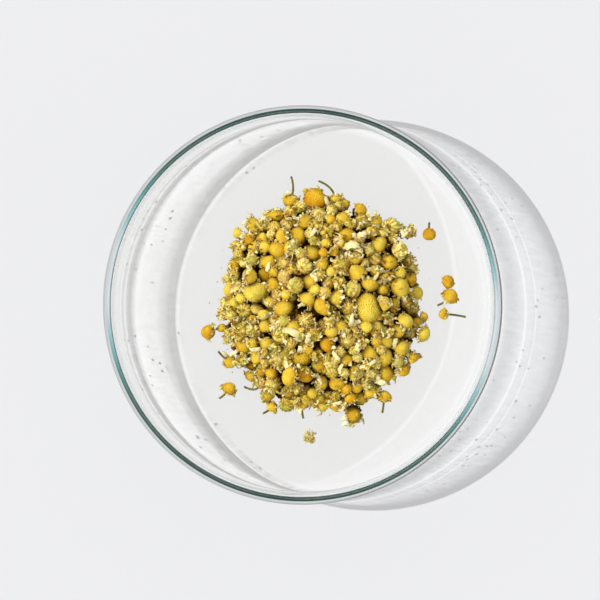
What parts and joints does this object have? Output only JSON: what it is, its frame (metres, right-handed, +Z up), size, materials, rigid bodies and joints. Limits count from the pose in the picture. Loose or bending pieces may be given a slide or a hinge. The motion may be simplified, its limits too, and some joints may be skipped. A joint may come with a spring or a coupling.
{
  "type": "glass dish of dried chamomile flowers",
  "caption": "Shallow clear glass dish holding a heap of dried chamomile flower heads, with a few more heads lying loose beside it.",
  "frame": {"origin": "centre of the dish's flat underside, on the surface it stands on", "axes": "+Z up along the dish's axis, +Y towards the side with the two long stalks, +X towards the group of three loose heads"},
  "size_m": [0.15, 0.15, 0.028],
  "materials": {
    "clear_glass": "clear, polished, faint green tint in the rim",
    "disc_yellow": "dry, matt, fine-grained florets",
    "cup_green": "dry, matt, ribbed bracts",
    "scrap_tan": "dry, matt, papery",
    "heads_golden": "dry, matt, yellow discs over green-beige cups",
    "heads_olive": "dry, matt, mostly green-beige cups with yellow discs"
  },
  "bodies": {
    "root": {"clump_01": "heads_olive", "clump_02": "heads_golden", "clump_03": "heads_golden", "clump_04": "heads_golden", "clump_05": "heads_golden", "clump_06": "heads_olive", "clump_07": "heads_olive", "clump_08": "heads_golden", "clump_09": "heads_golden", "clump_10": "heads_olive", "clump_11": "heads_golden", "clump_12": "heads_golden", "clump_13": "heads_golden", "clump_14": "heads_golden", "clump_15": "heads_olive", "clump_16": "heads_olive", "clump_17": "heads_olive", "clump_18": "heads_golden", "clump_19": "heads_golden", "clump_20": "heads_golden", "clump_21": "heads_golden", "clump_22": "heads_olive", "clump_23": "heads_olive", "clump_24": "heads_golden", "clump_25": "heads_golden", "clump_26": "heads_olive", "clump_27": "heads_olive", "clump_28": "heads_golden", "clump_29": "heads_golden", "clump_30": "heads_olive", "clump_31": "heads_olive", "clump_32": "heads_golden", "clump_33": "heads_olive", "dish": "clear_glass", "loose_01_cup": "cup_green", "loose_01_disc": "disc_yellow", "loose_02_cup": "cup_green", "loose_02_disc": "disc_yellow", "loose_03_cup": "cup_green", "loose_03_disc": "disc_yellow", "loose_04_cup": "cup_green", "loose_04_disc": "disc_yellow", "loose_05_cup": "cup_green", "loose_05_disc": "disc_yellow", "loose_06_cup": "cup_green", "loose_06_disc": "disc_yellow", "loose_07_cup": "cup_green", "loose_07_disc": "disc_yellow", "loose_08_cup": "cup_green", "loose_08_disc": "disc_yellow", "loose_09_cup": "cup_green", "loose_09_disc": "disc_yellow", "scrap_01": "scrap_tan", "scrap_02": "scrap_tan", "scrap_03": "scrap_tan"}
  },
  "joints": []
}
